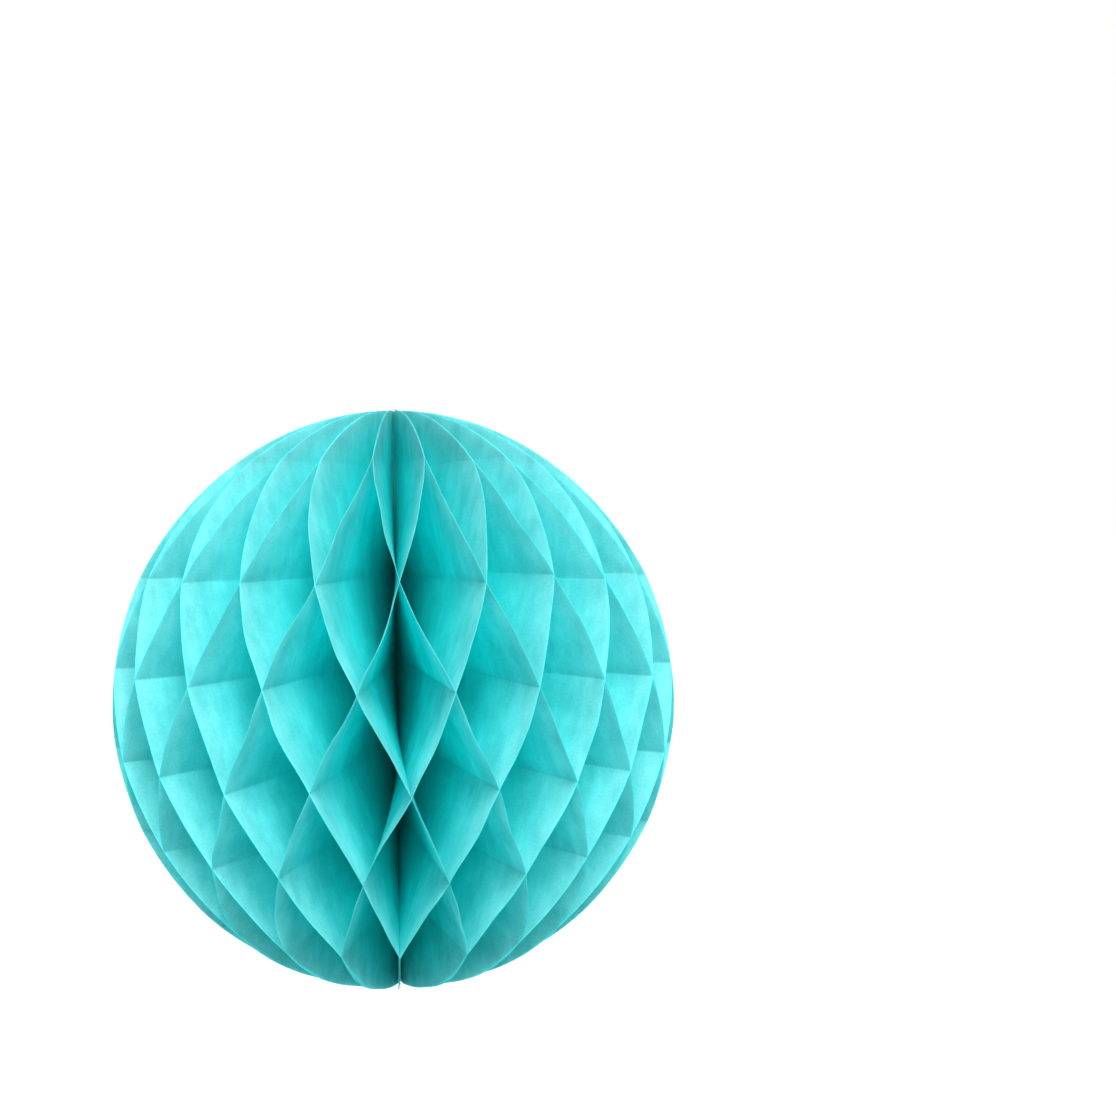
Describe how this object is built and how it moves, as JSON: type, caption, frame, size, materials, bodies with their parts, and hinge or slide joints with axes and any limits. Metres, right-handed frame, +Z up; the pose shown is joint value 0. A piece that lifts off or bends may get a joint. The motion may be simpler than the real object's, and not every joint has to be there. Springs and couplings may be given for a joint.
{
  "type": "paper honeycomb ball",
  "caption": "Round tissue paper honeycomb ball: half-round leaves fanned all the way round a bound spine and glued at alternating heights.",
  "frame": {"origin": "middle of the open ball, half-way up the spine", "axes": "+Z up along the spine; the two cover boards meet back to back in the YZ plane on the +Y side, and the honeycomb's front faces -Y"},
  "size_m": [0.1994, 0.1992, 0.2114],
  "materials": {
    "tissue": "matt tissue paper",
    "cover_card": "matt card",
    "thread": "twisted cotton",
    "adhesive": "tacky film"
  },
  "bodies": {
    "spine_and_first_board": {"board_a": "cover_card", "binding_thread": "thread", "top_knot": "thread", "bottom_knot": "thread", "adhesive_dot_top": "adhesive", "adhesive_dot_middle": "adhesive", "adhesive_dot_bottom": "adhesive"},
    "second_board": {"board_b": "cover_card"},
    "leaf_01": {"leaf_01": "tissue"},
    "leaf_02": {"leaf_02": "tissue"},
    "leaf_03": {"leaf_03": "tissue"},
    "leaf_04": {"leaf_04": "tissue"},
    "leaf_05": {"leaf_05": "tissue"},
    "leaf_06": {"leaf_06": "tissue"},
    "leaf_07": {"leaf_07": "tissue"},
    "leaf_08": {"leaf_08": "tissue"},
    "leaf_09": {"leaf_09": "tissue"},
    "leaf_10": {"leaf_10": "tissue"},
    "leaf_11": {"leaf_11": "tissue"},
    "leaf_12": {"leaf_12": "tissue"},
    "leaf_13": {"leaf_13": "tissue"},
    "leaf_14": {"leaf_14": "tissue"},
    "leaf_15": {"leaf_15": "tissue"},
    "leaf_16": {"leaf_16": "tissue"},
    "leaf_17": {"leaf_17": "tissue"},
    "leaf_18": {"leaf_18": "tissue"},
    "leaf_19": {"leaf_19": "tissue"},
    "leaf_20": {"leaf_20": "tissue"},
    "leaf_21": {"leaf_21": "tissue"},
    "leaf_22": {"leaf_22": "tissue"},
    "leaf_23": {"leaf_23": "tissue"},
    "leaf_24": {"leaf_24": "tissue"},
    "leaf_25": {"leaf_25": "tissue"},
    "leaf_26": {"leaf_26": "tissue"},
    "leaf_27": {"leaf_27": "tissue"},
    "leaf_28": {"leaf_28": "tissue"},
    "leaf_29": {"leaf_29": "tissue"},
    "leaf_30": {"leaf_30": "tissue"},
    "leaf_31": {"leaf_31": "tissue"},
    "leaf_32": {"leaf_32": "tissue"},
    "leaf_33": {"leaf_33": "tissue"},
    "leaf_34": {"leaf_34": "tissue"},
    "leaf_35": {"leaf_35": "tissue"},
    "leaf_36": {"leaf_36": "tissue"},
    "leaf_37": {"leaf_37": "tissue"},
    "leaf_38": {"leaf_38": "tissue"},
    "leaf_39": {"leaf_39": "tissue"},
    "leaf_40": {"leaf_40": "tissue"},
    "leaf_41": {"leaf_41": "tissue"},
    "leaf_42": {"leaf_42": "tissue"},
    "leaf_43": {"leaf_43": "tissue"},
    "leaf_44": {"leaf_44": "tissue"},
    "leaf_45": {"leaf_45": "tissue"},
    "leaf_46": {"leaf_46": "tissue"}
  },
  "joints": [
    {"name": "fan_fold", "type": "hinge", "parent": "spine_and_first_board", "child": "second_board", "pos_m": [0, 0, 0], "axis": [0, 0, 1], "range_deg": [-352, 0]},
    {"name": "leaf_01_turn", "type": "hinge", "parent": "spine_and_first_board", "child": "leaf_01", "pos_m": [0, 0, 0], "axis": [0, 0, 1], "range_deg": [-3.84, 0], "deforming": ["leaf_01"]},
    {"name": "leaf_02_turn", "type": "hinge", "parent": "spine_and_first_board", "child": "leaf_02", "pos_m": [0, 0, 0], "axis": [0, 0, 1], "range_deg": [-11.49, 0], "deforming": ["leaf_02"]},
    {"name": "leaf_03_turn", "type": "hinge", "parent": "spine_and_first_board", "child": "leaf_03", "pos_m": [0, 0, 0], "axis": [0, 0, 1], "range_deg": [-19.14, 0], "deforming": ["leaf_03"]},
    {"name": "leaf_04_turn", "type": "hinge", "parent": "spine_and_first_board", "child": "leaf_04", "pos_m": [0, 0, 0], "axis": [0, 0, 1], "range_deg": [-26.79, 0], "deforming": ["leaf_04"]},
    {"name": "leaf_05_turn", "type": "hinge", "parent": "spine_and_first_board", "child": "leaf_05", "pos_m": [0, 0, 0], "axis": [0, 0, 1], "range_deg": [-34.44, 0], "deforming": ["leaf_05"]},
    {"name": "leaf_06_turn", "type": "hinge", "parent": "spine_and_first_board", "child": "leaf_06", "pos_m": [0, 0, 0], "axis": [0, 0, 1], "range_deg": [-42.1, 0], "deforming": ["leaf_06"]},
    {"name": "leaf_07_turn", "type": "hinge", "parent": "spine_and_first_board", "child": "leaf_07", "pos_m": [0, 0, 0], "axis": [0, 0, 1], "range_deg": [-49.75, 0], "deforming": ["leaf_07"]},
    {"name": "leaf_08_turn", "type": "hinge", "parent": "spine_and_first_board", "child": "leaf_08", "pos_m": [0, 0, 0], "axis": [0, 0, 1], "range_deg": [-57.4, 0], "deforming": ["leaf_08"]},
    {"name": "leaf_09_turn", "type": "hinge", "parent": "spine_and_first_board", "child": "leaf_09", "pos_m": [0, 0, 0], "axis": [0, 0, 1], "range_deg": [-65.05, 0], "deforming": ["leaf_09"]},
    {"name": "leaf_10_turn", "type": "hinge", "parent": "spine_and_first_board", "child": "leaf_10", "pos_m": [0, 0, 0], "axis": [0, 0, 1], "range_deg": [-72.71, 0], "deforming": ["leaf_10"]},
    {"name": "leaf_11_turn", "type": "hinge", "parent": "spine_and_first_board", "child": "leaf_11", "pos_m": [0, 0, 0], "axis": [0, 0, 1], "range_deg": [-80.36, 0], "deforming": ["leaf_11"]},
    {"name": "leaf_12_turn", "type": "hinge", "parent": "spine_and_first_board", "child": "leaf_12", "pos_m": [0, 0, 0], "axis": [0, 0, 1], "range_deg": [-88.01, 0], "deforming": ["leaf_12"]},
    {"name": "leaf_13_turn", "type": "hinge", "parent": "spine_and_first_board", "child": "leaf_13", "pos_m": [0, 0, 0], "axis": [0, 0, 1], "range_deg": [-95.66, 0], "deforming": ["leaf_13"]},
    {"name": "leaf_14_turn", "type": "hinge", "parent": "spine_and_first_board", "child": "leaf_14", "pos_m": [0, 0, 0], "axis": [0, 0, 1], "range_deg": [-103.31, 0], "deforming": ["leaf_14"]},
    {"name": "leaf_15_turn", "type": "hinge", "parent": "spine_and_first_board", "child": "leaf_15", "pos_m": [0, 0, 0], "axis": [0, 0, 1], "range_deg": [-110.97, 0], "deforming": ["leaf_15"]},
    {"name": "leaf_16_turn", "type": "hinge", "parent": "spine_and_first_board", "child": "leaf_16", "pos_m": [0, 0, 0], "axis": [0, 0, 1], "range_deg": [-118.62, 0], "deforming": ["leaf_16"]},
    {"name": "leaf_17_turn", "type": "hinge", "parent": "spine_and_first_board", "child": "leaf_17", "pos_m": [0, 0, 0], "axis": [0, 0, 1], "range_deg": [-126.27, 0], "deforming": ["leaf_17"]},
    {"name": "leaf_18_turn", "type": "hinge", "parent": "spine_and_first_board", "child": "leaf_18", "pos_m": [0, 0, 0], "axis": [0, 0, 1], "range_deg": [-133.92, 0], "deforming": ["leaf_18"]},
    {"name": "leaf_19_turn", "type": "hinge", "parent": "spine_and_first_board", "child": "leaf_19", "pos_m": [0, 0, 0], "axis": [0, 0, 1], "range_deg": [-141.58, 0], "deforming": ["leaf_19"]},
    {"name": "leaf_20_turn", "type": "hinge", "parent": "spine_and_first_board", "child": "leaf_20", "pos_m": [0, 0, 0], "axis": [0, 0, 1], "range_deg": [-149.23, 0], "deforming": ["leaf_20"]},
    {"name": "leaf_21_turn", "type": "hinge", "parent": "spine_and_first_board", "child": "leaf_21", "pos_m": [0, 0, 0], "axis": [0, 0, 1], "range_deg": [-156.88, 0], "deforming": ["leaf_21"]},
    {"name": "leaf_22_turn", "type": "hinge", "parent": "spine_and_first_board", "child": "leaf_22", "pos_m": [0, 0, 0], "axis": [0, 0, 1], "range_deg": [-164.53, 0], "deforming": ["leaf_22"]},
    {"name": "leaf_23_turn", "type": "hinge", "parent": "spine_and_first_board", "child": "leaf_23", "pos_m": [0, 0, 0], "axis": [0, 0, 1], "range_deg": [-172.18, 0], "deforming": ["leaf_23"]},
    {"name": "leaf_24_turn", "type": "hinge", "parent": "spine_and_first_board", "child": "leaf_24", "pos_m": [0, 0, 0], "axis": [0, 0, 1], "range_deg": [-179.84, 0], "deforming": ["leaf_24"]},
    {"name": "leaf_25_turn", "type": "hinge", "parent": "spine_and_first_board", "child": "leaf_25", "pos_m": [0, 0, 0], "axis": [0, 0, 1], "range_deg": [-187.49, 0], "deforming": ["leaf_25"]},
    {"name": "leaf_26_turn", "type": "hinge", "parent": "spine_and_first_board", "child": "leaf_26", "pos_m": [0, 0, 0], "axis": [0, 0, 1], "range_deg": [-195.14, 0], "deforming": ["leaf_26"]},
    {"name": "leaf_27_turn", "type": "hinge", "parent": "spine_and_first_board", "child": "leaf_27", "pos_m": [0, 0, 0], "axis": [0, 0, 1], "range_deg": [-202.79, 0], "deforming": ["leaf_27"]},
    {"name": "leaf_28_turn", "type": "hinge", "parent": "spine_and_first_board", "child": "leaf_28", "pos_m": [0, 0, 0], "axis": [0, 0, 1], "range_deg": [-210.44, 0], "deforming": ["leaf_28"]},
    {"name": "leaf_29_turn", "type": "hinge", "parent": "spine_and_first_board", "child": "leaf_29", "pos_m": [0, 0, 0], "axis": [0, 0, 1], "range_deg": [-218.1, 0], "deforming": ["leaf_29"]},
    {"name": "leaf_30_turn", "type": "hinge", "parent": "spine_and_first_board", "child": "leaf_30", "pos_m": [0, 0, 0], "axis": [0, 0, 1], "range_deg": [-225.75, 0], "deforming": ["leaf_30"]},
    {"name": "leaf_31_turn", "type": "hinge", "parent": "spine_and_first_board", "child": "leaf_31", "pos_m": [0, 0, 0], "axis": [0, 0, 1], "range_deg": [-233.4, 0], "deforming": ["leaf_31"]},
    {"name": "leaf_32_turn", "type": "hinge", "parent": "spine_and_first_board", "child": "leaf_32", "pos_m": [0, 0, 0], "axis": [0, 0, 1], "range_deg": [-241.05, 0], "deforming": ["leaf_32"]},
    {"name": "leaf_33_turn", "type": "hinge", "parent": "spine_and_first_board", "child": "leaf_33", "pos_m": [0, 0, 0], "axis": [0, 0, 1], "range_deg": [-248.71, 0], "deforming": ["leaf_33"]},
    {"name": "leaf_34_turn", "type": "hinge", "parent": "spine_and_first_board", "child": "leaf_34", "pos_m": [0, 0, 0], "axis": [0, 0, 1], "range_deg": [-256.36, 0], "deforming": ["leaf_34"]},
    {"name": "leaf_35_turn", "type": "hinge", "parent": "spine_and_first_board", "child": "leaf_35", "pos_m": [0, 0, 0], "axis": [0, 0, 1], "range_deg": [-264.01, 0], "deforming": ["leaf_35"]},
    {"name": "leaf_36_turn", "type": "hinge", "parent": "spine_and_first_board", "child": "leaf_36", "pos_m": [0, 0, 0], "axis": [0, 0, 1], "range_deg": [-271.66, 0], "deforming": ["leaf_36"]},
    {"name": "leaf_37_turn", "type": "hinge", "parent": "spine_and_first_board", "child": "leaf_37", "pos_m": [0, 0, 0], "axis": [0, 0, 1], "range_deg": [-279.31, 0], "deforming": ["leaf_37"]},
    {"name": "leaf_38_turn", "type": "hinge", "parent": "spine_and_first_board", "child": "leaf_38", "pos_m": [0, 0, 0], "axis": [0, 0, 1], "range_deg": [-286.97, 0], "deforming": ["leaf_38"]},
    {"name": "leaf_39_turn", "type": "hinge", "parent": "spine_and_first_board", "child": "leaf_39", "pos_m": [0, 0, 0], "axis": [0, 0, 1], "range_deg": [-294.62, 0], "deforming": ["leaf_39"]},
    {"name": "leaf_40_turn", "type": "hinge", "parent": "spine_and_first_board", "child": "leaf_40", "pos_m": [0, 0, 0], "axis": [0, 0, 1], "range_deg": [-302.27, 0], "deforming": ["leaf_40"]},
    {"name": "leaf_41_turn", "type": "hinge", "parent": "spine_and_first_board", "child": "leaf_41", "pos_m": [0, 0, 0], "axis": [0, 0, 1], "range_deg": [-309.92, 0], "deforming": ["leaf_41"]},
    {"name": "leaf_42_turn", "type": "hinge", "parent": "spine_and_first_board", "child": "leaf_42", "pos_m": [0, 0, 0], "axis": [0, 0, 1], "range_deg": [-317.58, 0], "deforming": ["leaf_42"]},
    {"name": "leaf_43_turn", "type": "hinge", "parent": "spine_and_first_board", "child": "leaf_43", "pos_m": [0, 0, 0], "axis": [0, 0, 1], "range_deg": [-325.23, 0], "deforming": ["leaf_43"]},
    {"name": "leaf_44_turn", "type": "hinge", "parent": "spine_and_first_board", "child": "leaf_44", "pos_m": [0, 0, 0], "axis": [0, 0, 1], "range_deg": [-332.88, 0], "deforming": ["leaf_44"]},
    {"name": "leaf_45_turn", "type": "hinge", "parent": "spine_and_first_board", "child": "leaf_45", "pos_m": [0, 0, 0], "axis": [0, 0, 1], "range_deg": [-340.53, 0], "deforming": ["leaf_45"]},
    {"name": "leaf_46_turn", "type": "hinge", "parent": "spine_and_first_board", "child": "leaf_46", "pos_m": [0, 0, 0], "axis": [0, 0, 1], "range_deg": [-348.18, 0], "deforming": ["leaf_46"]}
  ],
  "couplings": [
    {"joint": "leaf_01_turn", "follows": "fan_fold", "ratio": 0.01087},
    {"joint": "leaf_02_turn", "follows": "fan_fold", "ratio": 0.032609},
    {"joint": "leaf_03_turn", "follows": "fan_fold", "ratio": 0.054348},
    {"joint": "leaf_04_turn", "follows": "fan_fold", "ratio": 0.076087},
    {"joint": "leaf_05_turn", "follows": "fan_fold", "ratio": 0.097826},
    {"joint": "leaf_06_turn", "follows": "fan_fold", "ratio": 0.11957},
    {"joint": "leaf_07_turn", "follows": "fan_fold", "ratio": 0.1413},
    {"joint": "leaf_08_turn", "follows": "fan_fold", "ratio": 0.16304},
    {"joint": "leaf_09_turn", "follows": "fan_fold", "ratio": 0.18478},
    {"joint": "leaf_10_turn", "follows": "fan_fold", "ratio": 0.20652},
    {"joint": "leaf_11_turn", "follows": "fan_fold", "ratio": 0.22826},
    {"joint": "leaf_12_turn", "follows": "fan_fold", "ratio": 0.25},
    {"joint": "leaf_13_turn", "follows": "fan_fold", "ratio": 0.27174},
    {"joint": "leaf_14_turn", "follows": "fan_fold", "ratio": 0.29348},
    {"joint": "leaf_15_turn", "follows": "fan_fold", "ratio": 0.31522},
    {"joint": "leaf_16_turn", "follows": "fan_fold", "ratio": 0.33696},
    {"joint": "leaf_17_turn", "follows": "fan_fold", "ratio": 0.3587},
    {"joint": "leaf_18_turn", "follows": "fan_fold", "ratio": 0.38043},
    {"joint": "leaf_19_turn", "follows": "fan_fold", "ratio": 0.40217},
    {"joint": "leaf_20_turn", "follows": "fan_fold", "ratio": 0.42391},
    {"joint": "leaf_21_turn", "follows": "fan_fold", "ratio": 0.44565},
    {"joint": "leaf_22_turn", "follows": "fan_fold", "ratio": 0.46739},
    {"joint": "leaf_23_turn", "follows": "fan_fold", "ratio": 0.48913},
    {"joint": "leaf_24_turn", "follows": "fan_fold", "ratio": 0.51087},
    {"joint": "leaf_25_turn", "follows": "fan_fold", "ratio": 0.53261},
    {"joint": "leaf_26_turn", "follows": "fan_fold", "ratio": 0.55435},
    {"joint": "leaf_27_turn", "follows": "fan_fold", "ratio": 0.57609},
    {"joint": "leaf_28_turn", "follows": "fan_fold", "ratio": 0.59783},
    {"joint": "leaf_29_turn", "follows": "fan_fold", "ratio": 0.61957},
    {"joint": "leaf_30_turn", "follows": "fan_fold", "ratio": 0.6413},
    {"joint": "leaf_31_turn", "follows": "fan_fold", "ratio": 0.66304},
    {"joint": "leaf_32_turn", "follows": "fan_fold", "ratio": 0.68478},
    {"joint": "leaf_33_turn", "follows": "fan_fold", "ratio": 0.70652},
    {"joint": "leaf_34_turn", "follows": "fan_fold", "ratio": 0.72826},
    {"joint": "leaf_35_turn", "follows": "fan_fold", "ratio": 0.75},
    {"joint": "leaf_36_turn", "follows": "fan_fold", "ratio": 0.77174},
    {"joint": "leaf_37_turn", "follows": "fan_fold", "ratio": 0.79348},
    {"joint": "leaf_38_turn", "follows": "fan_fold", "ratio": 0.81522},
    {"joint": "leaf_39_turn", "follows": "fan_fold", "ratio": 0.83696},
    {"joint": "leaf_40_turn", "follows": "fan_fold", "ratio": 0.8587},
    {"joint": "leaf_41_turn", "follows": "fan_fold", "ratio": 0.88043},
    {"joint": "leaf_42_turn", "follows": "fan_fold", "ratio": 0.90217},
    {"joint": "leaf_43_turn", "follows": "fan_fold", "ratio": 0.92391},
    {"joint": "leaf_44_turn", "follows": "fan_fold", "ratio": 0.94565},
    {"joint": "leaf_45_turn", "follows": "fan_fold", "ratio": 0.96739},
    {"joint": "leaf_46_turn", "follows": "fan_fold", "ratio": 0.98913}
  ]
}
